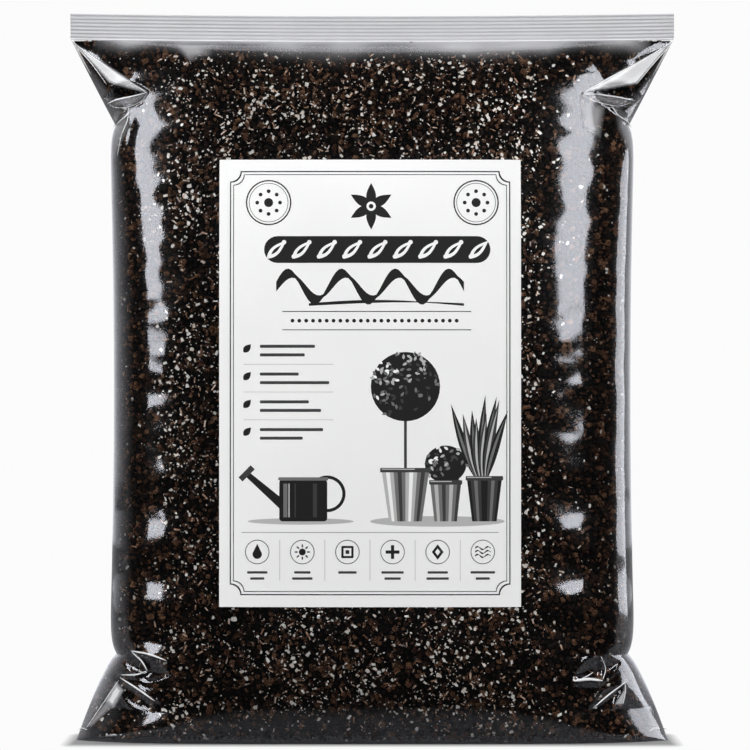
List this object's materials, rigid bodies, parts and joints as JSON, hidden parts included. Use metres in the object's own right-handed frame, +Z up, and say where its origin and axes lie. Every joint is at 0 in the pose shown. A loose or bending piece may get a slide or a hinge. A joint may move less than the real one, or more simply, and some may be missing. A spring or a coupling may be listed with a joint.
{
  "type": "compost bag",
  "caption": "Clear film pillow pack of dark potting compost with a crimped top seal and a plain paper front label, standing on its flattened base.",
  "frame": {"origin": "centre of the flattened base, on the surface the bag stands on", "axes": "+Z up to the crimped seal, +X along the seal to the right seen from the front, -Y out of the labelled front"},
  "size_m": [0.3, 0.0884, 0.361],
  "materials": {
    "clear_film": "clear glossy polyethylene film, slightly hazy",
    "potting_compost": "damp dark crumbs with white perlite grains and tan fibres",
    "label_paper": "smooth coated white paper with black print"
  },
  "bodies": {
    "root": {"film_bag": "clear_film", "compost_fill": "potting_compost", "front_label": "label_paper"}
  },
  "joints": []
}
